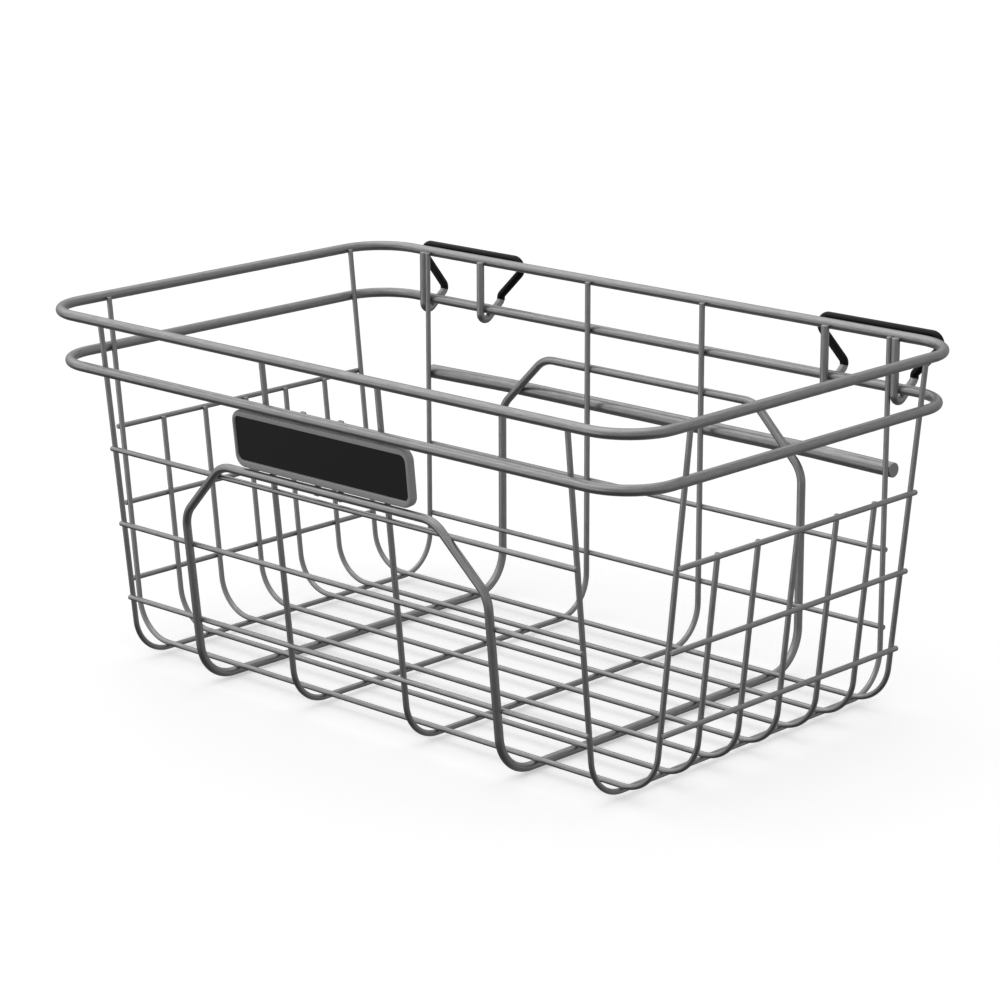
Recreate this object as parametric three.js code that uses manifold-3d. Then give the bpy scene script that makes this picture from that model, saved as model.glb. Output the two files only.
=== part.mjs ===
// Welded wire basket with two rims, a saddle loop round its middle and two hooks at the back.
// Millimetres, +Z up, +X to the right seen from the front, +Y towards the wall that it hangs on.
import * as THREE from "three";
import { mergeVertices } from "three/addons/utils/BufferGeometryUtils.js";
import Module from "manifold-3d";

const wasm = await Module();
wasm.setup();

// Wire diameters
const rimWire = 6;
const thinWire = 3.2;
const middleWire = 3.5;
const loopWire = 5;
const barWire = 8.4;
const hookWire = 4.8;

// Rims, measured between the centres of their wire
const rimWidth = 457.8;
const rimDepth = 278.5;
const rimCorner = 30;
const rimSpacing = 30;

// Walls and floor. Drops are measured down from the centre of the upper rim.
const wallSlope = 6; // degrees that the front and both ends lean in towards the floor
const floorDrop = 205; // down to the centres of the long wires
const floorBend = 24.5; // centreline radius where floor wires turn up into the walls
const wireReach = 0.5; // the wires that reach the upper rim end this far above its centre
const weldGap = 0.15; // left between two wires that touch

// Cross wires, front to back, and long wires, end to end
const middleSpacing = 89.8; // between the two middle cross wires
const longWireCount = 7;
const outerStepLess = 1; // the outer steps between long wires are this much narrower
const lastWireInset = 0.8; // from the back bend to the last long wire
const shortReach = 1.3; // the five short long wires end this far above the top rail

// Rails on the outside of the walls
const railCount = 3;
const firstRailDrop = 78.05;
const lastRailLift = 34.4; // lowest rail above the long wires of the floor
const railOverrun = 1.3; // past the centre of the last wire it crosses

// Saddle loop
const loopWidth = 237.5; // between the centres of its two legs
const loopChamfer = 35.4;
const loopChamferBend = 18.5;
const frontCrestDrop = 70.5;
const backCrestDrop = 54.3;
const railSeat = 2.2; // depth of the weld seats where the loop crosses the rails

// Bar that rests against the wall
const barDrop = 77.2;
const barOverrun = 1.6; // past the centre of the last wire it crosses

// Hooks
const hookLegSpan = 49.6; // between the two legs of one hook
const hookTurnDrop = 2.2; // the turn under the lower rim is centred this far below it
const hookLean = 42; // degrees above level of the slanted stretch behind the rim
const hookReach = 15.2; // from the back of the rims, wire centre to wire centre
const hookTopWidth = 96.5; // its top bar is level with the upper rim
const hookLowerBend = 5;
const hookUpperBend = 5;
const sleeveFit = 0.1;
const sleeveWall = 0.2;
const sleeveLead = 0.6; // straight stretch of the sleeve before the lower bend

// Badge between the lower rim and the front crest of the saddle loop
const badgeWidth = 137;
const badgeThickness = 5;
const badgeCorner = 5;
const badgeEdge = 0.8; // rounding of its outer edges
const badgeBorder = 3.2;
const badgeGroove = 1.4; // depth of the grooves for the two middle cross wires
const badgeStandoff = 0.3; // between those wires and the grooves
const badgeRimGap = 1.2;
const badgeCrestGap = 1.4;
const plateThickness = 0.8;
const plateRecess = 0.5; // below the border
const plateFit = 0.2;
const clipWidth = 3.6;
const clipThickness = 2;
const clipRoot = 1; // how deep the clips are rooted in the badge
const clipHold = 6; // how far the clips run along the back of the badge
const clipFit = 0.3;
const clipTip = 1;
const upperClipSpan = 30.6;
const lowerClipSpan = 18;

// Facets
const thinSides = 8;
const thickSides = 12;
const bendStep = 18; // degrees of bend between two rings of a wire
const cornerSegments = 5;
const edgeSegments = 2;
const mergeDistance = 1e-4; // points closer than this are one point

const greyCoat = new THREE.MeshStandardMaterial({ color: 0x7b7b7b, roughness: 0.45, metalness: 0.35 });
const blackVinyl = new THREE.MeshStandardMaterial({ color: 0x222222, roughness: 0.5, metalness: 0 });
const greyPlastic = new THREE.MeshStandardMaterial({ color: 0x808080, roughness: 0.5, metalness: 0 });
const blackPlastic = new THREE.MeshStandardMaterial({ color: 0x1f1f1f, roughness: 0.4, metalness: 0 });

const basket = new THREE.Group();

function addPiece(name, geometry, material, parent = basket) {
  const mesh = new THREE.Mesh(geometry, material);
  mesh.name = name;
  parent.add(mesh);
}

// Wires

// The centreline of a bent wire, with a station at each end of a bend and at each step round it.
class WirePath extends THREE.Curve {
  constructor(stations) {
    super();
    this.stations = stations;
    this.steps = stations.length - 1;
  }
  getTangentAt(share) {
    return this.stations[Math.round(share * this.steps)].tangent.clone();
  }
  getSpacedPoints() {
    return this.stations.map((station) => station.point.clone());
  }
}

// Runs straight from corner to corner, with an arc of each corner's radius in its place.
function bentPath(corners) {
  const stations = [];
  corners.forEach(({ point, radius }, index) => {
    const before = corners[index - 1];
    const after = corners[index + 1];
    const arriving = before && point.clone().sub(before.point).normalize();
    const leaving = after && after.point.clone().sub(point).normalize();
    if (!before || !after) {
      stations.push({ point: point.clone(), tangent: arriving || leaving });
      return;
    }
    const turn = arriving.angleTo(leaving);
    const setback = radius * Math.tan(turn / 2);
    const start = point.clone().addScaledVector(arriving, -setback);
    const axis = arriving.clone().cross(leaving).normalize();
    const spoke = arriving.clone().cross(axis).multiplyScalar(radius);
    const centre = start.clone().sub(spoke);
    const steps = Math.max(1, Math.round(THREE.MathUtils.radToDeg(turn) / bendStep));
    for (let step = 0; step <= steps; step++) {
      const angle = (turn * step) / steps;
      stations.push({
        point: centre.clone().add(spoke.clone().applyAxisAngle(axis, angle)),
        tangent: arriving.clone().applyAxisAngle(axis, angle),
      });
    }
  });
  return new WirePath(stations);
}

function corner(point, radius = 0) {
  return { point, radius };
}

// A regular outline with flats on both axes, as wide across the flats as the wire is thick.
function sectionPoints(diameter, sides) {
  const reach = diameter / 2 / Math.cos(Math.PI / sides);
  return Array.from({ length: sides }, (_, side) => {
    const angle = ((2 * side + 1) * Math.PI) / sides;
    return new THREE.Vector2(reach * Math.cos(angle), reach * Math.sin(angle));
  });
}

function openWire(path, diameter, sides, boreDiameter = 0) {
  const section = new THREE.Shape(sectionPoints(diameter, sides));
  if (boreDiameter) section.holes.push(new THREE.Path(sectionPoints(boreDiameter, sides)));
  return new THREE.ExtrudeGeometry(section, { steps: path.steps, extrudePath: path });
}

// A wire whose ends are butted together: its last station is its first one again.
function closedWire(path, diameter, sides) {
  const { normals, binormals } = path.computeFrenetFrames(path.steps, true);
  const section = sectionPoints(diameter, sides);
  const positions = [];
  const faces = [];
  for (let ring = 0; ring < path.steps; ring++) {
    section.forEach((spot, side) => {
      const vertex = path.stations[ring].point.clone();
      vertex.addScaledVector(normals[ring], spot.x).addScaledVector(binormals[ring], spot.y);
      positions.push(vertex.x, vertex.y, vertex.z);
      const here = ring * sides;
      const next = ((ring + 1) % path.steps) * sides;
      const beside = (side + 1) % sides;
      faces.push(here + side, here + beside, next + beside);
      faces.push(here + side, next + beside, next + side);
    });
  }
  const geometry = new THREE.BufferGeometry();
  geometry.setAttribute("position", new THREE.Float32BufferAttribute(positions, 3));
  geometry.setIndex(faces);
  geometry.computeVertexNormals();
  return geometry;
}

// Joins and cuts

function solidOf(geometry) {
  const bare = new THREE.BufferGeometry();
  bare.setAttribute("position", geometry.getAttribute("position"));
  bare.setIndex(geometry.index);
  const merged = mergeVertices(bare, mergeDistance);
  const vertProperties = new Float32Array(merged.getAttribute("position").array);
  const triVerts = new Uint32Array(merged.index.array);
  return new wasm.Manifold(new wasm.Mesh({ numProp: 3, vertProperties, triVerts }));
}

function geometryOf(solid) {
  const { vertProperties, triVerts } = solid.getMesh();
  const geometry = new THREE.BufferGeometry();
  geometry.setAttribute("position", new THREE.Float32BufferAttribute(vertProperties, 3));
  geometry.setIndex(new THREE.Uint32BufferAttribute(triVerts, 1));
  return geometry;
}

function cutBy(geometry, cutters) {
  const cut = cutters.reduce((solid, cutter) => solid.subtract(solidOf(cutter)), solidOf(geometry));
  return geometryOf(cut);
}

// Walls: the outer sides of the upright wires lie on the inner side of the rims, and out is
// measured square to the wall from there.

const wirePlane = rimWire / 2 + weldGap; // from the rims' centres in to the upright wires
const slope = THREE.MathUtils.degToRad(wallSlope);
const alongX = new THREE.Vector3(1, 0, 0);
const alongY = new THREE.Vector3(0, 1, 0);
const front = { along: alongX, outward: alongY.clone().negate(), distance: rimDepth / 2, lean: slope };
const back = { along: alongX, outward: alongY, distance: rimDepth / 2, lean: 0 };
const left = { along: alongY, outward: alongX.clone().negate(), distance: rimWidth / 2, lean: slope };
const right = { along: alongY, outward: alongX, distance: rimWidth / 2, lean: slope };

function levelReach(wall, height, out) {
  return wall.distance + (out - wirePlane) / Math.cos(wall.lean) + height * Math.tan(wall.lean);
}

function wallPoint(wall, along, height, out) {
  return new THREE.Vector3(0, 0, height)
    .addScaledVector(wall.along, along)
    .addScaledVector(wall.outward, levelReach(wall, height, out));
}

// How far out the floor run of a wire goes before it turns up into the wall
function bendStart(wall, height, diameter) {
  const insideAngle = Math.PI / 2 + wall.lean;
  return levelReach(wall, height, -diameter / 2) - floorBend / Math.tan(insideAngle / 2);
}

// Rims

function rimPath(height) {
  const inset = -height * Math.tan(slope);
  const halfWidth = rimWidth / 2 - inset;
  const frontSide = -rimDepth / 2 + inset;
  const backSide = rimDepth / 2;
  return bentPath([
    corner(new THREE.Vector3(0, frontSide, height)),
    corner(new THREE.Vector3(halfWidth, frontSide, height), rimCorner),
    corner(new THREE.Vector3(halfWidth, backSide, height), rimCorner),
    corner(new THREE.Vector3(-halfWidth, backSide, height), rimCorner),
    corner(new THREE.Vector3(-halfWidth, frontSide, height), rimCorner),
    corner(new THREE.Vector3(0, frontSide, height)),
  ]);
}

addPiece("upper_rim", closedWire(rimPath(0), rimWire, thickSides), greyCoat);
addPiece("lower_rim", closedWire(rimPath(-rimSpacing), rimWire, thickSides), greyCoat);

// Cross wires and long wires: up one wall, over the floor and up the opposite wall

function floorWire(walls, along, floorHeight, topHeight, diameter) {
  const [first, second] = walls.map((wall) => ({
    top: corner(wallPoint(wall, along, topHeight, -diameter / 2)),
    foot: corner(wallPoint(wall, along, floorHeight, -diameter / 2), floorBend),
  }));
  return openWire(bentPath([first.top, first.foot, second.foot, second.top]), diameter, thinSides);
}

// Height of a wire that lies against the underside of the long wires
function underLongWires(diameter) {
  return -floorDrop - thinWire / 2 - weldGap - diameter / 2;
}

const firstLongWire = -bendStart(front, underLongWires(middleWire), middleWire);
const lastLongWire = bendStart(back, underLongWires(middleWire), middleWire) - lastWireInset;
const outerCrossWire = bendStart(right, -floorDrop, thinWire);

const crossWires = [
  { along: -outerCrossWire, diameter: thinWire },
  { along: -middleSpacing / 2, diameter: middleWire },
  { along: middleSpacing / 2, diameter: middleWire },
  { along: outerCrossWire, diameter: thinWire },
];
crossWires.forEach(({ along, diameter }, index) => {
  const wire = floorWire([front, back], along, underLongWires(diameter), wireReach, diameter);
  addPiece(`cross_wire_${index + 1}`, wire, greyCoat);
});

const longPitch = (lastLongWire - firstLongWire + 2 * outerStepLess) / (longWireCount - 1);
for (let index = 0; index < longWireCount; index++) {
  const isFirst = index === 0;
  const isLast = index === longWireCount - 1;
  let along = firstLongWire + index * longPitch;
  if (!isFirst) along -= outerStepLess;
  if (isLast) along -= outerStepLess;
  const top = isFirst || isLast ? wireReach : shortReach - firstRailDrop;
  const wire = floorWire([left, right], along, -floorDrop, top, thinWire);
  addPiece(`long_wire_${index + 1}`, wire, greyCoat);
}

// Rails

const railPitch = (floorDrop - lastRailLift - firstRailDrop) / (railCount - 1);
const railOut = weldGap + thinWire / 2;

function railGeometry(wall, index, from, to, diameter = thinWire) {
  const height = -firstRailDrop - index * railPitch;
  const ends = [from - railOverrun, to + railOverrun];
  const path = bentPath(ends.map((end) => corner(wallPoint(wall, end, height, railOut))));
  return openWire(path, diameter, thinSides);
}

function addRails(side, wall, from, to, firstIndex = 0) {
  for (let index = firstIndex; index < railCount; index++) {
    const name = `${side}_rail_${index - firstIndex + 1}`;
    addPiece(name, railGeometry(wall, index, from, to), greyCoat);
  }
}

addRails("front", front, -outerCrossWire, outerCrossWire);
addRails("back", back, -outerCrossWire, outerCrossWire, 1); // the wall bar has the place of the first
addRails("left", left, firstLongWire, lastLongWire);
addRails("right", right, firstLongWire, lastLongWire);

// Saddle loop: starts and ends in the middle of one floor run. It is seated over the rails.

const loopOut = railOut + thinWire / 2 - railSeat + loopWire / 2;
const loopFloor = underLongWires(loopWire);

// Up one leg of an arch, over its crest and down the other leg
function loopArch(wall, crestDrop, side) {
  const leg = (side * loopWidth) / 2;
  const shoulder = leg - side * loopChamfer;
  const at = (along, height) => wallPoint(wall, along, height, loopOut);
  return [
    corner(at(leg, loopFloor), floorBend),
    corner(at(leg, -crestDrop - loopChamfer), loopChamferBend),
    corner(at(shoulder, -crestDrop), loopChamferBend),
    corner(at(-shoulder, -crestDrop), loopChamferBend),
    corner(at(-leg, -crestDrop - loopChamfer), loopChamferBend),
    corner(at(-leg, loopFloor), floorBend),
  ];
}

const loopStart = corner(new THREE.Vector3(loopWidth / 2, 0, loopFloor));
const loopPath = bentPath([
  loopStart,
  ...loopArch(back, backCrestDrop, 1),
  ...loopArch(front, frontCrestDrop, -1),
  loopStart,
]);
const seatCutters = [front, back].flatMap((wall) =>
  Array.from({ length: railCount }, (_, index) =>
    railGeometry(wall, index, -outerCrossWire, outerCrossWire, thinWire + 2 * weldGap),
  ).slice(wall === back ? 1 : 0),
);
const loopGeometry = cutBy(closedWire(loopPath, loopWire, thinSides), seatCutters);
addPiece("saddle_loop", loopGeometry, greyCoat);

// Wall bar, which lies against the cross wires, with a weld seat where it crosses the saddle loop

const barOut = weldGap + barWire / 2;
const barPath = bentPath(
  [-1, 1].map((side) =>
    corner(wallPoint(back, side * (outerCrossWire + barOverrun), -barDrop, barOut)),
  ),
);
const barCutter = closedWire(loopPath, loopWire + 2 * weldGap, thinSides);
addPiece("wall_bar", cutBy(openWire(barPath, barWire, thickSides), [barCutter]), greyCoat);

// Hooks: down inside both rims, round under the lower one, up behind it and out into a wide top

const lean = THREE.MathUtils.degToRad(hookLean);
const hookTurnRadius = wirePlane + hookWire / 2;
const hookLegY = rimDepth / 2 - hookTurnRadius;
const hookTurnZ = -rimSpacing - hookTurnDrop;
const hookBackY = rimDepth / 2 + hookReach;
// The slanted stretch touches the turn and lies this far along and below it
const slantY = rimDepth / 2 + hookTurnRadius * Math.sin(lean);
const slantZ = hookTurnZ - hookTurnRadius * Math.cos(lean);
const slantHeightAt = (y) => slantZ + (y - slantY) * Math.tan(lean);
const outerLeg = outerCrossWire + thinWire / 2 + weldGap + hookWire / 2;
const hookMiddle = outerLeg - hookLegSpan / 2;

// One half of a hook from the leg's top to the upper corner, on either side of its middle
function hookHalf(middle, side) {
  const legX = middle + (side * hookLegSpan) / 2;
  const topX = middle + (side * hookTopWidth) / 2;
  return {
    top: corner(new THREE.Vector3(legX, hookLegY, wireReach)),
    turn: corner(new THREE.Vector3(legX, hookLegY, slantHeightAt(hookLegY)), hookTurnRadius),
    lower: corner(new THREE.Vector3(legX, hookBackY, slantHeightAt(hookBackY)), hookLowerBend),
    upper: corner(new THREE.Vector3(topX, hookBackY, 0), hookUpperBend),
  };
}

// A point on the slant just before the lower bend begins
function sleeveEnd({ turn, lower, upper }) {
  const arriving = lower.point.clone().sub(turn.point).normalize();
  const leaving = upper.point.clone().sub(lower.point).normalize();
  const setback = hookLowerBend * Math.tan(arriving.angleTo(leaving) / 2) + sleeveLead;
  return corner(lower.point.clone().addScaledVector(arriving, -setback));
}

[
  ["left", -hookMiddle],
  ["right", hookMiddle],
].forEach(([side, middle]) => {
  const one = hookHalf(middle, -1);
  const other = hookHalf(middle, 1);
  const bow = [one.lower, one.upper, other.upper, other.lower];
  const hookPath = bentPath([one.top, one.turn, ...bow, other.turn, other.top]);
  const sleevePath = bentPath([sleeveEnd(one), ...bow, sleeveEnd(other)]);
  const boreDiameter = hookWire + 2 * sleeveFit;
  const sleeveDiameter = boreDiameter + 2 * sleeveWall;
  addPiece(`hook_${side}`, openWire(hookPath, hookWire, thickSides), greyCoat);
  addPiece(
    `hook_sleeve_${side}`,
    openWire(sleevePath, sleeveDiameter, thickSides, boreDiameter),
    blackVinyl,
  );
});

// Badge, in a group whose origin is on the lower rim's centre, with Y up the wall and Z out of it

const badgeOrigin = wallPoint(front, 0, -rimSpacing, wirePlane);
const crest = wallPoint(front, 0, -frontCrestDrop, loopOut).sub(badgeOrigin);
const upTheWall = new THREE.Vector3(0, -Math.sin(slope), Math.cos(slope));
const crestY = crest.dot(upTheWall);
const crestZ = loopOut - wirePlane;
const badgeTop = -rimWire / 2 - badgeRimGap;
const badgeBottom = crestY + loopWire / 2 + badgeCrestGap;
const badgeHeight = badgeTop - badgeBottom;
const badgeMiddle = (badgeTop + badgeBottom) / 2;
const badgeBack = badgeStandoff - wirePlane - badgeGroove;
const badgeFront = badgeBack + badgeThickness;
const pocketFloor = badgeFront - plateRecess - plateThickness - plateFit;

function roundedPanel(width, height, radius) {
  const panel = new THREE.Shape();
  const x = width / 2 - radius;
  const y = height / 2 - radius;
  const quarter = Math.PI / 2;
  [
    [x, y],
    [-x, y],
    [-x, -y],
    [x, -y],
  ].forEach(([cx, cy], index) => {
    panel.absarc(cx, badgeMiddle + cy, radius, index * quarter, (index + 1) * quarter);
  });
  return panel;
}

function panelGeometry(shrink, depth, bottom) {
  const panel = roundedPanel(badgeWidth - 2 * shrink, badgeHeight - 2 * shrink, badgeCorner - shrink);
  const settings = { depth, bevelEnabled: false, curveSegments: cornerSegments };
  return new THREE.ExtrudeGeometry(panel, settings).translate(0, 0, bottom);
}

function badgeBlock() {
  const panel = roundedPanel(badgeWidth, badgeHeight, badgeCorner);
  const settings = {
    depth: badgeThickness - 2 * badgeEdge,
    bevelThickness: badgeEdge,
    bevelSize: badgeEdge,
    bevelOffset: -badgeEdge,
    bevelSegments: edgeSegments,
    curveSegments: cornerSegments,
  };
  return new THREE.ExtrudeGeometry(panel, settings).translate(0, 0, badgeBack + badgeEdge);
}

// Takes a cross wire that runs up behind the badge
function grooveCutter({ along, diameter }) {
  const cutter = new THREE.BoxGeometry(diameter + 2 * badgeStandoff, 2 * badgeHeight, 2 * badgeGroove);
  return cutter.translate(along, badgeMiddle, badgeBack);
}

// A clip's outline is drawn from the side, as depth into the basket and height up the wall.
function clipGeometry(outline, x) {
  const shape = new THREE.Shape(outline.map(([depth, height]) => new THREE.Vector2(depth, height)));
  const clip = new THREE.ExtrudeGeometry(shape, { depth: clipWidth, bevelEnabled: false });
  return clip.rotateY(Math.PI / 2).translate(x - clipWidth / 2, 0, 0);
}

// Passes below the lower rim and up behind it, with a lip that leans over its round back
function upperClip() {
  const root = -badgeBack - clipRoot;
  const face = rimWire / 2 + clipFit;
  const rear = face + clipThickness;
  const lipAngle = Math.acos((face - clipTip) / face);
  const lipHeight = face * Math.sin(lipAngle);
  return [
    [root, badgeTop - clipHold],
    [rear, badgeTop - clipHold],
    [rear, lipHeight],
    [face - clipTip, lipHeight + clipTip / 2],
    [face - clipTip, lipHeight],
    [face, face * Math.tan(lipAngle / 2)],
    [face, badgeTop - clipRoot],
    [root, badgeTop - clipRoot],
  ];
}

// Goes down behind the crest of the saddle loop, with a lip under it
function lowerClip() {
  const root = -badgeBack - clipRoot;
  const face = loopWire / 2 - crestZ + clipFit;
  const rear = face + clipThickness;
  const lip = crestY - loopWire / 2 - clipFit;
  return [
    [rear, badgeBottom + clipHold],
    [root, badgeBottom + clipHold],
    [root, badgeBottom + clipRoot],
    [face, badgeBottom + clipRoot],
    [face, lip],
    [face - clipTip, lip],
    [face, lip - clipTip],
    [rear, lip - clipTip],
  ].reverse();
}

const badge = new THREE.Group();
badge.position.copy(badgeOrigin);
badge.rotation.x = Math.PI / 2 + slope;
basket.add(badge);

const pocket = panelGeometry(badgeBorder, badgeThickness, pocketFloor);
const grooves = crossWires.filter(({ along }) => Math.abs(along) < badgeWidth / 2).map(grooveCutter);
const clips = [-1, 1].flatMap((side) => [
  clipGeometry(upperClip(), (side * upperClipSpan) / 2),
  clipGeometry(lowerClip(), (side * lowerClipSpan) / 2),
]);
const frameSolid = clips.reduce(
  (solid, clip) => solid.add(solidOf(clip)),
  solidOf(cutBy(badgeBlock(), [pocket, ...grooves])),
);
const plateGeometry = panelGeometry(badgeBorder + plateFit, plateThickness, pocketFloor + plateFit);
addPiece("badge_frame", geometryOf(frameSolid), greyPlastic, badge);
addPiece("badge_plate", plateGeometry, blackPlastic, badge);

// The origin is under the middle of the whole basket, at the height of what it stands on.
const sleeveReach = hookWire / 2 + sleeveFit + sleeveWall;
const frontMost = -rimDepth / 2 - rimWire / 2;
const backMost = hookBackY + sleeveReach;
basket.position.set(0, -(frontMost + backMost) / 2, loopWire / 2 - loopFloor);

const model = new THREE.Group();
model.add(basket);

export default model;
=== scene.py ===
import math

import bpy
import numpy as np
from mathutils import Euler, Matrix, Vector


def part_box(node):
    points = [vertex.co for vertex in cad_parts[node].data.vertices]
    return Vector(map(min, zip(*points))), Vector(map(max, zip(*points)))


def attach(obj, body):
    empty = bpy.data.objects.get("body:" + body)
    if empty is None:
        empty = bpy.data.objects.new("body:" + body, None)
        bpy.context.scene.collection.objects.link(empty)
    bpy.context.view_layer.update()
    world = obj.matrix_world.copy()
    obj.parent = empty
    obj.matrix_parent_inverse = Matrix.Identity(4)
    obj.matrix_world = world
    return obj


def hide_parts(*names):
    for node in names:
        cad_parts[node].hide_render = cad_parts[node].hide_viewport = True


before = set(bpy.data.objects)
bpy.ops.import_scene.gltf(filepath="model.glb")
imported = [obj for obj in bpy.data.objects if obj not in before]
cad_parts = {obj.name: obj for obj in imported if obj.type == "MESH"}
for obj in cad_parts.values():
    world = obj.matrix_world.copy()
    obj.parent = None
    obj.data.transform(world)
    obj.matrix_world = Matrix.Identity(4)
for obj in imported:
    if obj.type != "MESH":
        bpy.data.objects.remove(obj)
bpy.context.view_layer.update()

# Welded wire basket. Shapes are worked out in millimetres and scaled as they go into a mesh.
mm = 0.001
print("frame loaded:", len(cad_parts), "nodes")


# Materials

def linearColour(hexCode):
    srgb = np.array([int(hexCode[i:i + 2], 16) for i in (1, 3, 5)]) / 255
    linear = np.where(srgb <= 0.04045, srgb / 12.92, ((srgb + 0.055) / 1.055) ** 2.4)
    return (*linear, 1.0)


def addNode(tree, kind, inputs=None, **settings):
    node = tree.nodes.new(kind)
    for name, value in settings.items():
        setattr(node, name, value)
    for socket, value in (inputs or {}).items():
        if isinstance(value, bpy.types.NodeSocket):
            tree.links.new(value, node.inputs[socket])
        else:
            node.inputs[socket].default_value = value
    return node


def emptyMaterial(name):
    material = bpy.data.materials.new(name)
    material.use_nodes = True
    material.node_tree.nodes.clear()
    return material, material.node_tree


def patternScale(cellMillimetres):
    return 1 / (cellMillimetres * mm)  # cells per metre


# Metallic polyester powder baked on drawn steel wire: a soft satin sheen and the faint waviness of melted
# powder.
# Painted reflection bands run over the coat's own grey as fine light and dark lines along the wire. Lines
# and waviness are drawn a little coarse so that they show.
powderCoat = {
    "light": "#D0D0D1", "dark": "#8A8A8B", "metallic": 0.92, "smooth": 0.27, "rough": 0.35,
    "lineLength": 9.0, "lineWidth": 0.8, "lineDetail": 4.0, "lineRoughness": 0.65, "lineRange": (0.3, 0.7),
    "peel": 1.6, "peelDetail": 1.0, "peelHeight": 0.02, "peelStrength": 0.3,
}
wireUv = "along_and_around"  # UV map of every wire


def makePowderCoat(coat):
    material, tree = emptyMaterial("metallic_grey_powder_coat")
    place = addNode(tree, "ShaderNodeTexCoord").outputs["Object"]
    wirePlace = addNode(tree, "ShaderNodeUVMap", uv_map=wireUv).outputs["UV"]
    cells = addNode(tree, "ShaderNodeVectorMath", {
        0: wirePlace, 1: (patternScale(coat["lineLength"]), patternScale(coat["lineWidth"]), 0),
    }, operation="MULTIPLY").outputs["Vector"]
    # Painted reflection bands: light and dark lines stretched along the wire, used for the colour and the
    # roughness
    paintedReflectionLines = addNode(tree, "ShaderNodeTexNoise", {
        "Vector": cells, "Scale": 1.0, "Detail": coat["lineDetail"], "Roughness": coat["lineRoughness"],
    }).outputs["Fac"]
    peel = addNode(tree, "ShaderNodeTexNoise", {
        "Vector": place, "Scale": patternScale(coat["peel"]), "Detail": coat["peelDetail"],
    }).outputs["Fac"]
    # Base colour: the coat's own grey, with painted reflection bands mixed in as lighter and darker lines
    colour = addNode(tree, "ShaderNodeMix", {
        "Factor": paintedReflectionLines, "A": linearColour(coat["dark"]), "B": linearColour(coat["light"]),
    }, data_type="RGBA").outputs["Result"]
    roughness = addNode(tree, "ShaderNodeMapRange", {
        "Value": paintedReflectionLines, "From Min": coat["lineRange"][0], "From Max": coat["lineRange"][1],
        "To Min": coat["rough"], "To Max": coat["smooth"],
    }).outputs["Result"]
    bump = addNode(tree, "ShaderNodeBump", {
        "Height": peel, "Distance": coat["peelHeight"] * mm, "Strength": coat["peelStrength"],
    }).outputs["Normal"]
    shader = addNode(tree, "ShaderNodeBsdfPrincipled", {
        "Base Color": colour, "Metallic": coat["metallic"], "Roughness": roughness, "Normal": bump,
    })
    addNode(tree, "ShaderNodeOutputMaterial", {"Surface": shader.outputs["BSDF"]})
    return material


# Plasticised vinyl tube shrunk on the hooks: black and glossy, with a faint pebble. The grain of all three
# plastics is drawn coarse so that it shows.
vinyl = {
    "light": "#131313", "dark": "#090909", "grain": 0.9, "grainDetail": 3.0, "height": 0.03,
    "strength": 0.3, "roughness": 0.12, "specular": 0.25, "ior": 1.5,
}
# ABS moulded in a spark-eroded tool: an even fine grain that scatters the light
mouldedGrey = {
    "light": "#C2C2C2", "dark": "#B0B0B0", "grain": 0.6, "grainDetail": 2.0, "height": 0.03,
    "strength": 0.5, "roughness": 0.5, "specular": 0.5, "ior": 1.54,
}
# ABS moulded in a smoother tool: satin black
mouldedBlack = {
    "light": "#171717", "dark": "#101010", "grain": 0.8, "grainDetail": 2.0, "height": 0.015,
    "strength": 0.3, "roughness": 0.34, "specular": 0.35, "ior": 1.54,
}


def makePlastic(name, plastic):
    material, tree = emptyMaterial(name)
    place = addNode(tree, "ShaderNodeTexCoord").outputs["Object"]
    grain = addNode(tree, "ShaderNodeTexNoise", {
        "Vector": place, "Scale": patternScale(plastic["grain"]), "Detail": plastic["grainDetail"],
    }).outputs["Fac"]
    colour = addNode(tree, "ShaderNodeMix", {
        "Factor": grain, "A": linearColour(plastic["dark"]), "B": linearColour(plastic["light"]),
    }, data_type="RGBA").outputs["Result"]
    bump = addNode(tree, "ShaderNodeBump", {
        "Height": grain, "Distance": plastic["height"] * mm, "Strength": plastic["strength"],
    }).outputs["Normal"]
    shader = addNode(tree, "ShaderNodeBsdfPrincipled", {
        "Base Color": colour, "Roughness": plastic["roughness"], "IOR": plastic["ior"],
        "Specular IOR Level": plastic["specular"], "Normal": bump,
    })
    addNode(tree, "ShaderNodeOutputMaterial", {"Surface": shader.outputs["BSDF"]})
    return material


finishes = {
    "grey_powder_coat": makePowderCoat(powderCoat),
    "black_vinyl": makePlastic("black_vinyl", vinyl),
    "badge_grey": makePlastic("grey_moulded_abs", mouldedGrey),
    "badge_black": makePlastic("black_moulded_abs", mouldedBlack),
}
print("materials made:", len(finishes))


# Meshes

def addPiece(name, vertices, faces, flatFaces, slot, *nodes, cornerUv=None):
    mesh = bpy.data.meshes.new(name)
    mesh.from_pydata((vertices * mm).tolist(), [], faces)
    smooth = np.ones(len(faces), dtype=bool)
    smooth[flatFaces] = False
    mesh.polygons.foreach_set("use_smooth", smooth)
    mesh.materials.append(finishes[slot])
    if cornerUv is not None:
        mesh.uv_layers.new(name=wireUv).data.foreach_set("uv", (cornerUv * mm).ravel())
    piece = bpy.data.objects.new(name, mesh)
    bpy.context.scene.collection.objects.link(piece)
    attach(piece, "root")
    if nodes:
        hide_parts(*nodes)


# Faces between neighbouring rings of points, each ring run counterclockwise seen from the end of the row
def ringFaces(rings, sides, closed):
    first = np.arange(rings if closed else rings - 1)[:, None] * sides
    second = (first + sides) % (rings * sides)
    here = np.arange(sides)
    beside = np.roll(here, -1)
    quads = np.stack([first + here, first + beside, second + beside, second + here], axis=-1)
    return quads.reshape(-1, 4).tolist()


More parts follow.
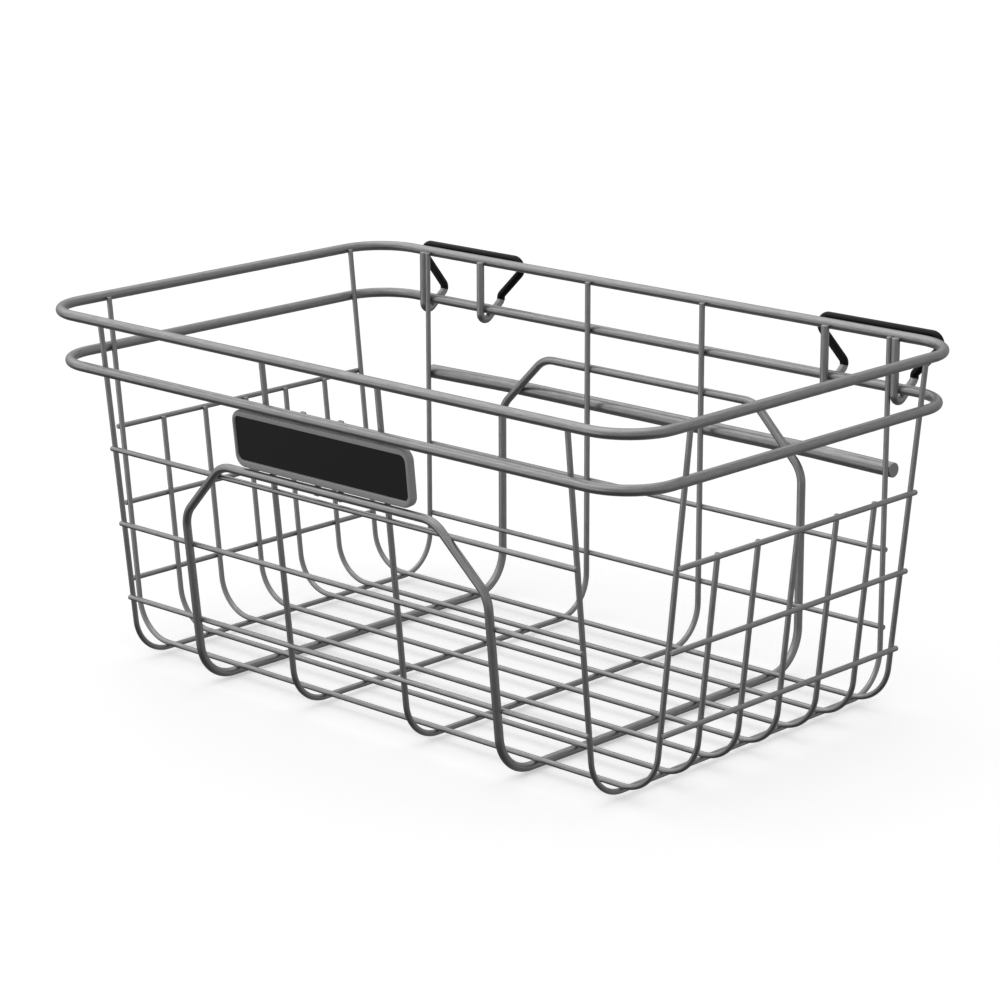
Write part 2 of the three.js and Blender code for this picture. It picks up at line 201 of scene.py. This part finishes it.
# An open row of rings with a flat face over the first and the last, and the places of those two faces
def cappedFaces(rings, sides):
    quads = ringFaces(rings, sides, closed=False)
    ring = np.arange(sides)
    caps = [ring[::-1].tolist(), (ring + (rings - 1) * sides).tolist()]
    return quads + caps, [len(quads), len(quads) + 1]


def unit(vectors):
    return vectors / np.linalg.norm(vectors, axis=-1, keepdims=True)


# Straight runs from corner to corner, each corner (point, bend radius) turned into a circular arc
bendStep = math.radians(4)


def bentPath(corners, closed=False):
    points = []
    tangents = []
    count = len(corners)
    for index, (corner, radius) in enumerate(corners):
        before = corners[index - 1][0]
        after = corners[(index + 1) % count][0]
        if not closed and index in (0, count - 1):
            points.append(corner[None])
            tangents.append(unit(after - corner if index == 0 else corner - before)[None])
            continue
        arriving = unit(corner - before)
        leaving = unit(after - corner)
        turn = math.acos(np.clip(arriving @ leaving, -1, 1))
        start = corner - arriving * radius * math.tan(turn / 2)
        spoke = unit(arriving * math.cos(turn) - leaving)
        angle = np.linspace(0, turn, max(2, round(turn / bendStep) + 1))[:, None]
        centre = start - spoke * radius
        points.append(centre + radius * (np.cos(angle) * spoke + np.sin(angle) * arriving))
        tangents.append(np.cos(angle) * arriving - np.sin(angle) * spoke)
    return np.concatenate(points), np.concatenate(tangents)


# Directions square to a path: each one is the direction before it, made square to the new tangent
def carriedAcross(tangents, start):
    across = [np.asarray(start, float)]
    for tangent in tangents:
        previous = across[-1]
        across.append(unit(previous - (previous @ tangent) * tangent))
    return np.array(across[1:])


# Place on a wire for each corner of each face: length along it and length round it
def lengthwiseUv(points, sides, gauge, closed):
    stops = np.concatenate([points, points[:1]]) if closed else points
    along = np.concatenate([[0], np.cumsum(np.linalg.norm(np.diff(stops, axis=0), axis=1))])
    around = np.arange(sides + 1) * math.pi * gauge / sides
    grid = np.stack(np.meshgrid(along, around, indexing="ij"), axis=-1)
    corners = np.stack([grid[:-1, :-1], grid[:-1, 1:], grid[1:, 1:], grid[1:, :-1]], axis=2)
    return corners.reshape(-1, 2)


# A round wire: a circle carried along the path, its zero angle turned towards the reference vector.
# An open end is rounded: the circle shrinks along a quarter circle and closes with a flat disc.
endRings = 5


def wireSurface(path, gauge, reference, sides, closed, endRound):
    points, tangents = path
    radius = np.full(len(points), gauge / 2)
    if closed:
        across = unit(reference - np.sum(reference * tangents, axis=1, keepdims=True) * tangents)
        faces = ringFaces(len(points), sides, closed=True)
        flat = []
    else:
        angle = np.linspace(0, math.pi / 2, endRings)
        setback = endRound * (1 - np.sin(angle))
        shrunk = gauge / 2 - endRound * (1 - np.cos(angle))
        head = points[0] + tangents[0] * setback[::-1, None]
        tail = points[-1] - tangents[-1] * setback[:, None]
        points = np.concatenate([head, points[1:-1], tail])
        ends = np.repeat(tangents[[0, -1]], endRings, axis=0)
        tangents = np.concatenate([ends[:endRings], tangents[1:-1], ends[endRings:]])
        radius = np.concatenate([shrunk[::-1], radius[1:-1], shrunk])
        across = carriedAcross(tangents, reference)
        faces, flat = cappedFaces(len(points), sides)
    beside = np.cross(tangents, across)
    turn = np.arange(sides) * 2 * math.pi / sides
    circle = np.cos(turn)[None, :, None] * across[:, None] + np.sin(turn)[None, :, None] * beside[:, None]
    rings = points[:, None] + radius[:, None, None] * circle
    capUv = np.zeros((len(flat) * sides, 2))
    cornerUv = np.concatenate([lengthwiseUv(points, sides, gauge, closed), capUv])
    return rings.reshape(-1, 3), faces, flat, cornerUv


def addWire(node, path, gauge, reference, sides, closed=False, endRound=0.0, slot="grey_powder_coat"):
    vertices, faces, flat, cornerUv = wireSurface(path, gauge, reference, sides, closed, endRound)
    addPiece(node + "_wire", vertices, faces, flat, slot, node, cornerUv=cornerUv)


# Walls: planes through the centres of both rims, from the frame

def nodeBox(node):
    low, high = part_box(node)
    return np.array(low) / mm, np.array(high) / mm


upperLow, upperHigh = nodeBox("upper_rim")
lowerLow, lowerHigh = nodeBox("lower_rim")
rimWire = upperHigh[2] - upperLow[2]
upperHeight = (upperLow[2] + upperHigh[2]) / 2
lowerHeight = (lowerLow[2] + lowerHigh[2]) / 2


def makeWall(axis, sign):
    upper = sign * (upperHigh if sign > 0 else upperLow)[axis] - rimWire / 2
    lower = sign * (lowerHigh if sign > 0 else lowerLow)[axis] - rimWire / 2
    lean = math.atan2(upper - lower, upperHeight - lowerHeight)
    return {"axis": axis, "sign": sign, "reach": upper, "lean": lean}


walls = {"left": makeWall(0, -1), "right": makeWall(0, 1), "front": makeWall(1, -1), "back": makeWall(1, 1)}


# Point near a wall: distance along it, height, and distance out from it, square to the wall
def wallPoint(wall, along, height, out):
    lean = walls[wall]["lean"]
    axis = walls[wall]["axis"]
    reach = walls[wall]["reach"] + out / math.cos(lean) + (height - upperHeight) * math.tan(lean)
    point = np.zeros(3)
    point[axis] = walls[wall]["sign"] * reach
    point[1 - axis] = along
    point[2] = height
    return point


def wallNormal(wall):
    lean = walls[wall]["lean"]
    normal = np.zeros(3)
    normal[walls[wall]["axis"]] = walls[wall]["sign"] * math.cos(lean)
    normal[2] = -math.sin(lean)
    return normal


# Rims: closed hoops with round corners
rims = {"corner": 30.0, "sides": 32}


def addRim(node):
    low, high = nodeBox(node)
    low = low + rimWire / 2
    high = high - rimWire / 2
    outline = [(low[0], low[1]), (high[0], low[1]), (high[0], high[1]), (low[0], high[1])]
    corners = [(np.array([x, y, low[2]]), rims["corner"]) for x, y in outline]
    addWire(node, bentPath(corners, closed=True), rimWire, (0, 0, 1), rims["sides"], closed=True)


addRim("upper_rim")
addRim("lower_rim")
print("rims made")

# Uprights: wires that go down one wall, over the floor and up the other. Welding sets the runs on the
# floor into each other. Of each pair, the first is for wires that rise at the ends of the basket and the
# second for wires that rise at its front and back.
uprights = {
    "crossCount": 4, "longCount": 7, "bend": 24.5, "sides": 20, "rimSink": (0.3, -0.2),
    "floorLift": (-0.15, 0.65), "topDrop": 0.5, "endRound": 0.6,
}


def uprightOut(gauge, wall):
    return uprights["rimSink"][walls[wall]["axis"]] - (rimWire + gauge) / 2


# The spacing axis is the one along which such wires stand side by side
def addUpright(node, first, second, spacingAxis):
    low, high = nodeBox(node)
    gauge = high[spacingAxis] - low[spacingAxis]
    along = (high[spacingAxis] + low[spacingAxis]) / 2
    top = high[2] - gauge / 2 * math.sin(walls[first]["lean"]) - uprights["topDrop"]
    floor = low[2] + gauge / 2 + uprights["floorLift"][walls[first]["axis"]]
    out = uprightOut(gauge, first)
    corners = [
        (wallPoint(first, along, top, out), 0),
        (wallPoint(first, along, floor, out), uprights["bend"]),
        (wallPoint(second, along, floor, out), uprights["bend"]),
        (wallPoint(second, along, top, out), 0),
    ]
    sideways = np.eye(3)[spacingAxis]
    addWire(node, bentPath(corners), gauge, sideways, uprights["sides"], endRound=uprights["endRound"])
    return gauge


crossGauges = [addUpright(f"cross_wire_{i + 1}", "front", "back", 0) for i in range(uprights["crossCount"])]
longGauges = [addUpright(f"long_wire_{i + 1}", "left", "right", 1) for i in range(uprights["longCount"])]
thinWire, middleWire = crossGauges[:2]  # the outer and the inner cross wires
print("uprights made:", len(crossGauges + longGauges))

# Rails on the outside of the uprights
rails = {
    "count": {"front": 3, "back": 2, "left": 3, "right": 3},
    "sink": {"front": 1.5, "back": 1.6, "left": 0.3, "right": 0.3}, "sides": 20, "endRound": 0.6,
}


def railOut(wall):
    return uprightOut(thinWire, wall) + thinWire - rails["sink"][wall]


def addRail(wall, number):
    node = f"{wall}_rail_{number}"
    low, high = nodeBox(node)
    along = 1 - walls[wall]["axis"]
    height = (low[2] + high[2]) / 2
    ends = [(wallPoint(wall, end, height, railOut(wall)), 0) for end in (low[along], high[along])]
    addWire(node, bentPath(ends), high[2] - low[2], (0, 0, 1), rails["sides"], endRound=rails["endRound"])


for railWall, railCount in rails["count"].items():
    for railNumber in range(1, railCount + 1):
        addRail(railWall, railNumber)
print("rails made:", sum(rails["count"].values()))

# Saddle loop: two runs under the floor and an arch with cut corners at the front and at the back
loop = {
    "wire": 5.0, "chamfer": 35.4, "chamferBend": 18.5, "floorBend": 24.5, "sides": 28,
    "frontBelowBack": 16.2, "clear": {"front": 4.25, "back": 3.0}, "floorLift": 0.9,
}
loopLow, loopHigh = nodeBox("saddle_loop")
loopFloor = loopLow[2] + loop["wire"] / 2 + loop["floorLift"]
loopLeg = loopHigh[0] - loop["wire"] / 2
crest = {"back": loopHigh[2] - loop["wire"] / 2}
crest["front"] = crest["back"] - loop["frontBelowBack"]


def loopOut(wall):
    return uprightOut(middleWire, wall) + loop["clear"][wall]


# Half of an arch as (along, height, bend radius), and the same half mirrored
def archCorners(wall, side):
    leg = side * loopLeg
    shoulder = side * (loopLeg - loop["chamfer"])
    elbow = crest[wall] - loop["chamfer"]
    half = [
        (leg, loopFloor, loop["floorBend"]),
        (leg, elbow, loop["chamferBend"]),
        (shoulder, crest[wall], loop["chamferBend"]),
    ]
    outline = half + [(-along, height, bend) for along, height, bend in reversed(half)]
    return [(wallPoint(wall, along, height, loopOut(wall)), bend) for along, height, bend in outline]


loopPath = bentPath(archCorners("back", 1) + archCorners("front", -1), closed=True)
loopMiddle = np.array([0, 0, crest["front"]])
outwards = (loopPath[0] - loopMiddle) * (0, 1, 1)  # away from the line along x through the middle
addWire("saddle_loop", loopPath, loop["wire"], outwards, loop["sides"], closed=True)

# Wall bar across the back, welded to the outer cross wires: it bows out a little to pass behind the
# saddle loop
bar = {
    "wire": 8.8, "sides": 32, "drop": 0.95, "bow": 3.9, "bowHalf": 119.0, "bowBend": 60.0, "endRound": 0.5,
    "leftOverhang": 1.1,
}


def addBar():
    low, high = nodeBox("wall_bar")
    height = (low[2] + high[2]) / 2 - bar["drop"]
    out = uprightOut(thinWire, "back") + (thinWire + bar["wire"]) / 2
    corners = [
        (wallPoint("back", low[0] - bar["leftOverhang"], height, out), 0),
        (wallPoint("back", -bar["bowHalf"], height, out + bar["bow"]), bar["bowBend"]),
        (wallPoint("back", bar["bowHalf"], height, out + bar["bow"]), bar["bowBend"]),
        (wallPoint("back", high[0], height, out), 0),
    ]
    addWire("wall_bar", bentPath(corners), bar["wire"], (0, 0, 1), bar["sides"], endRound=bar["endRound"])


addBar()
print("saddle loop and wall bar made")

# Hooks: down inside both rims, round under the lower one, slanting up behind it, a short way straight up
# and out into a wide bow
hooks = {
    "wire": 4.85, "legSpan": 49.6, "legSink": 1.1, "turn": 4.45, "turnDrop": 2.7, "slant": math.radians(38),
    "reach": 14.4, "rise": 3.3, "riseBend": 3.6, "topWidth": 99.0, "topLift": 0.45, "topBend": 5.4,
    "sides": 28, "endRound": 0.8, "sleeve": 5.05, "sleeveLift": 0.5, "sleeveRound": 0.2,
}


# Corners of half a hook: the leg's top, the turn under the rim, the kink, the rise and the end of the bow
def hookHalf(middle, side):
    slant = hooks["slant"]
    rimBack = walls["back"]["reach"]
    legY = rimBack - (rimWire + hooks["wire"]) / 2 + hooks["legSink"]
    backY = rimBack + hooks["reach"]
    slantY = legY + hooks["turn"] * (1 + math.sin(slant))
    slantZ = lowerHeight - hooks["turnDrop"] - hooks["turn"] * math.cos(slant)
    footZ = slantZ + (legY - slantY) * math.tan(slant)
    kinkZ = slantZ + (backY - slantY) * math.tan(slant)
    legX = middle + side * hooks["legSpan"] / 2
    topX = middle + side * hooks["topWidth"] / 2
    return [
        (np.array([legX, legY, upperHeight]), 0),
        (np.array([legX, legY, footZ]), hooks["turn"]),
        (np.array([legX, backY, kinkZ]), hooks["riseBend"]),
        (np.array([legX, backY, kinkZ + hooks["rise"]]), hooks["riseBend"]),
        (np.array([topX, backY, upperHeight + hooks["topLift"]]), hooks["topBend"]),
    ]


# The sleeve covers the bow and begins in the bend behind the rims, above the kink
def sleeveSection(path, kink):
    points, tangents = path
    covered = (points[:, 2] > kink[2] + hooks["sleeveLift"]) & (points[:, 1] > walls["back"]["reach"])
    return points[covered], tangents[covered]


def addHook(side):
    low, high = nodeBox(f"hook_{side}")
    middle = (low[0] + high[0]) / 2
    one = hookHalf(middle, -1)
    other = hookHalf(middle, 1)
    path = bentPath(one + other[::-1])
    kink = one[2][0]
    addWire(f"hook_{side}", path, hooks["wire"], (1, 0, 0), hooks["sides"], endRound=hooks["endRound"])
    addWire(f"hook_sleeve_{side}", sleeveSection(path, kink), hooks["sleeve"], (1, 0, 0), hooks["sides"],
            endRound=hooks["sleeveRound"], slot="black_vinyl")


addHook("left")
addHook("right")
print("hooks and sleeves made")

# Badge: a moulded frame and its plate, drawn on the front wall with x along it, y up it and z out of it
badge = {
    "width": 137.8, "corner": 7.0, "thickness": 5.0, "face": 0.75, "outerRound": 1.4, "innerRound": 0.4,
    "rimGap": 0.9, "crestGap": 0.8, "windowWidth": 133.5, "windowHeight": 26.1, "windowCorner": 4.0,
    "windowLift": 0.35, "recess": 1.0, "plateGap": 0.15, "plateRound": 0.3, "plateThickness": 0.8,
    "cornerSteps": 10, "roundSteps": 6,
}
frontLean = walls["front"]["lean"]
badgeOrigin = wallPoint("front", 0, lowerHeight, 0)
badgeAxes = np.array([[1, 0, 0], [0, -math.sin(frontLean), math.cos(frontLean)], wallNormal("front")])
crestLocal = badgeAxes @ (wallPoint("front", 0, crest["front"], loopOut("front")) - badgeOrigin)
badgeTop = -rimWire / 2 - badge["rimGap"]
badgeBottom = crestLocal[1] + loop["wire"] / 2 + badge["crestGap"]
badgeMiddle = (badgeTop + badgeBottom) / 2
badgeFront = badge["face"]
badgeBack = badgeFront - badge["thickness"]


def fromBadge(points):
    return badgeOrigin + points @ badgeAxes


# Rounded rectangle on the wall, counterclockwise, with its outward normals
def badgeOutline(width, height, corner, middle):
    x = width / 2 - corner
    y = height / 2 - corner
    angle = np.linspace(0, math.pi / 2, badge["cornerSteps"])
    turns = np.concatenate([angle + quarter * math.pi / 2 for quarter in range(4)])
    normals = np.stack([np.cos(turns), np.sin(turns)], axis=1)
    centres = np.repeat(np.array([[x, y], [-x, y], [-x, -y], [x, -y]]), badge["cornerSteps"], axis=0)
    return centres + normals * corner + (0, middle), normals


# Each profile point (inset, depth) makes one ring round the outline, so the profile is carried round it
def profileRings(outline, profile):
    points, normals = outline
    rings = points[None] - normals[None] * profile[:, None, :1]
    depth = np.broadcast_to(profile[:, None, 1:], rings.shape[:2] + (1,))
    return np.concatenate([rings, depth], axis=2)


# Rings drawn on the badge, put in their place and closed with flat faces
def addMoulding(name, rings, slot, *nodes):
    faces, flat = cappedFaces(*rings.shape[:2])
    addPiece(name, fromBadge(rings.reshape(-1, 3)), faces, flat, slot, *nodes)


# A quarter round in a profile, from one direction to the other
def roundEdge(centre, radius, fromAngle, toAngle):
    angle = np.radians(np.linspace(fromAngle, toAngle, badge["roundSteps"]))
    return np.array(centre) + radius * np.stack([np.cos(angle), np.sin(angle)], axis=1)


def addBadge():
    outer = badge["outerRound"]
    inner = badge["innerRound"]
    edge = badge["plateRound"]
    gap = badge["plateGap"]
    face = badgeFront - badge["recess"]
    pocket = face - badge["plateThickness"]
    windowMiddle = badgeMiddle + badge["windowLift"]
    body = badgeOutline(badge["width"], badgeTop - badgeBottom, badge["corner"], badgeMiddle)
    window = badgeOutline(badge["windowWidth"], badge["windowHeight"], badge["windowCorner"], windowMiddle)
    outside = np.concatenate([
        roundEdge((inner, badgeBack + inner), inner, 270, 180),
        roundEdge((outer, badgeFront - outer), outer, 180, 90),
    ])
    inside = np.concatenate([roundEdge((-inner, badgeFront - inner), inner, 90, 0), [(0, pocket)]])
    frameRings = np.concatenate([profileRings(body, outside), profileRings(window, inside)])
    addMoulding("badge_frame_moulding", frameRings, "badge_grey", "badge_frame")
    plateSide = np.concatenate([[(gap, pocket)], roundEdge((gap + edge, face - edge), edge, 180, 90)])
    addMoulding("badge_plate_moulding", profileRings(window, plateSide), "badge_black", "badge_plate")


addBadge()

# Snap clips behind the badge: a flat finger with round edges that runs along the back, past the wire that
# it holds and round behind it. It is carried along a path in height and depth.
clips = {
    "width": 3.6, "thickness": 1.8, "round": 0.5, "fit": 0.8, "hold": 4.5, "lead": 0.2, "sectionStep": 18,
    "upperSpan": 29.4, "upperWrap": math.radians(19), "lowerSpan": 18.0, "lowerWrap": math.radians(60),
}


# Straight along the badge's back to the wire, round behind it by the wrap angle, and a short straight tip
def clipPath(x, start, wireCentre, gauge, wrap, way):
    wireY, wireZ = wireCentre
    radius = gauge / 2 + clips["fit"] + clips["thickness"] / 2
    rear = wireZ - radius
    tipY = radius * math.sin(wrap) + clips["lead"] * math.cos(wrap)
    tipZ = -radius * math.cos(wrap) + clips["lead"] * math.sin(wrap)
    return bentPath([
        (np.array([x, start, rear]), 0),
        (np.array([x, wireY + way * radius * math.tan(wrap / 2), rear]), radius),
        (np.array([x, wireY + way * tipY, wireZ + tipZ]), 0),
    ])


# Rounded rectangle carried along the path, its long side along x
def clipRings(path):
    points, tangents = path
    across = np.array([1.0, 0.0, 0.0])
    beside = np.cross(tangents, across)
    halfWidth = clips["width"] / 2 - clips["round"]
    halfThick = clips["thickness"] / 2 - clips["round"]
    angle = np.radians(np.arange(clips["sectionStep"] / 2, 360, clips["sectionStep"]))
    section = np.stack([
        np.sign(np.cos(angle)) * halfWidth + np.cos(angle) * clips["round"],
        np.sign(np.sin(angle)) * halfThick + np.sin(angle) * clips["round"],
    ], axis=1)
    return points[:, None] + section[None, :, :1] * across + section[None, :, 1:] * beside[:, None]


def addClips():
    upperStart = badgeTop - clips["hold"]
    lowerStart = badgeBottom + clips["hold"]
    for side, sign in (("left", -1), ("right", 1)):
        upperX = sign * clips["upperSpan"] / 2
        lowerX = sign * clips["lowerSpan"] / 2
        upper = clipPath(upperX, upperStart, (0, 0), rimWire, clips["upperWrap"], 1)
        lower = clipPath(lowerX, lowerStart, crestLocal[1:], loop["wire"], clips["lowerWrap"], -1)
        addMoulding(f"badge_clip_upper_{side}", clipRings(upper), "badge_grey")
        addMoulding(f"badge_clip_lower_{side}", clipRings(lower), "badge_grey")


addClips()
print("badge and clips made")

# Stage: white paper on a light table, and a light tent that only the object and the floor see
stage = {"floorSize": 8.0, "paper": "#F2F2F2", "paperRoughness": 0.9, "glow": 0.41, "background": "#FFFFFF"}


def addFloor():
    half = stage["floorSize"] / 2
    corners = [(-half, -half, 0), (half, -half, 0), (half, half, 0), (-half, half, 0)]
    mesh = bpy.data.meshes.new("studio_floor")
    mesh.from_pydata(corners, [], [(0, 1, 2, 3)])
    material, tree = emptyMaterial("white_studio_paper")
    shader = addNode(tree, "ShaderNodeBsdfPrincipled", {
        "Base Color": linearColour(stage["paper"]), "Roughness": stage["paperRoughness"],
        "Emission Color": linearColour(stage["background"]), "Emission Strength": stage["glow"],
    })
    addNode(tree, "ShaderNodeOutputMaterial", {"Surface": shader.outputs["BSDF"]})
    mesh.materials.append(material)
    floor = bpy.data.objects.new("studio_floor", mesh)
    bpy.context.scene.collection.objects.link(floor)
    floor.visible_diffuse = False
    floor.visible_glossy = False
    floor.visible_shadow = False


# Brightness of the tent: dark below and less so towards the back, grey walls that are lighter at the
# front left, a lighter roof and a wide soft key light in it, left of overhead. The ranges are parts of
# the direction's length, or cosines of the angle from a heading.
tent = {
    "below": (0.075, 0.21), "wall": 0.38, "roof": 0.445, "frontGain": 0.45, "keyGain": 0.88,
    "belowRange": (-0.3, 0.7), "wallRange": (-0.54, -0.16), "roofRange": (0.03, 0.13),
    "frontRange": (0.75, 0.91), "keyRange": (0.26, 1.02),
    "front": (-0.526, -0.851, 0.0), "key": (-0.422, -0.079, 0.903),
}


def addTent():
    world = bpy.data.worlds.new("light_tent")
    world.use_nodes = True
    tree = world.node_tree
    tree.nodes.clear()
    direction = addNode(tree, "ShaderNodeTexCoord").outputs["Generated"]
    parts = addNode(tree, "ShaderNodeSeparateXYZ", {"Vector": direction}).outputs
    flattened = addNode(tree, "ShaderNodeVectorMath", {
        0: direction, 1: (1, 1, 0),
    }, operation="MULTIPLY").outputs["Vector"]
    level = addNode(tree, "ShaderNodeVectorMath", {0: flattened}, operation="NORMALIZE").outputs["Vector"]
    towardsFront = addNode(tree, "ShaderNodeVectorMath", {
        0: level, 1: tent["front"],
    }, operation="DOT_PRODUCT").outputs["Value"]
    towardsKey = addNode(tree, "ShaderNodeVectorMath", {
        0: direction, 1: tent["key"],
    }, operation="DOT_PRODUCT").outputs["Value"]

    # Each smooth step leads over its range from one brightness to another, some of them from earlier steps
    brightness = {}
    steps = [
        ("walls", towardsFront, "frontRange", tent["wall"], tent["wall"] + tent["frontGain"]),
        ("below", parts["Y"], "belowRange", *tent["below"]),
        ("lower", parts["Z"], "wallRange", "below", "walls"),
        ("upper", parts["Z"], "roofRange", "lower", tent["roof"]),
        ("key", towardsKey, "keyRange", 0.0, tent["keyGain"]),
    ]
    for name, value, limits, low, high in steps:
        brightness[name] = addNode(tree, "ShaderNodeMapRange", {
            "Value": value, "From Min": tent[limits][0], "From Max": tent[limits][1],
            "To Min": brightness.get(low, low), "To Max": brightness.get(high, high),
        }, interpolation_type="SMOOTHSTEP").outputs["Result"]
    strength = addNode(tree, "ShaderNodeMath", {
        0: brightness["upper"], 1: brightness["key"],
    }, operation="ADD").outputs["Value"]

    # The camera sees plain white past the floor
    inside = addNode(tree, "ShaderNodeBackground", {"Strength": strength}).outputs["Background"]
    white = linearColour(stage["background"])
    backdrop = addNode(tree, "ShaderNodeBackground", {"Color": white}).outputs["Background"]
    seen = addNode(tree, "ShaderNodeLightPath").outputs["Is Camera Ray"]
    both = addNode(tree, "ShaderNodeMixShader", {0: seen, 1: inside, 2: backdrop}).outputs["Shader"]
    addNode(tree, "ShaderNodeOutputWorld", {"Surface": both})
    bpy.context.scene.world = world


# Camera at the photo's viewing angle: place in metres, turns in degrees, lens in millimetres
camera = {
    "eye": (1.23496, -1.31298, 0.60598), "yaw": 43.223, "pitch": 15.413, "roll": 0.146,
    "focal": 116.79, "sensor": 36.0,
}


def addCamera():
    lens = bpy.data.cameras.new("photo_camera")
    lens.lens = camera["focal"]
    lens.sensor_width = camera["sensor"]
    view = bpy.data.objects.new("photo_camera", lens)
    heading = Euler((math.radians(90 - camera["pitch"]), 0, math.radians(camera["yaw"]))).to_matrix()
    roll = Matrix.Rotation(math.radians(-camera["roll"]), 3, "Z")
    view.matrix_world = Matrix.Translation(camera["eye"]) @ (heading @ roll).to_4x4()
    bpy.context.scene.collection.objects.link(view)
    bpy.context.scene.camera = view


addFloor()
addTent()
addCamera()
bpy.context.scene.view_settings.view_transform = "Standard"
print("stage set")
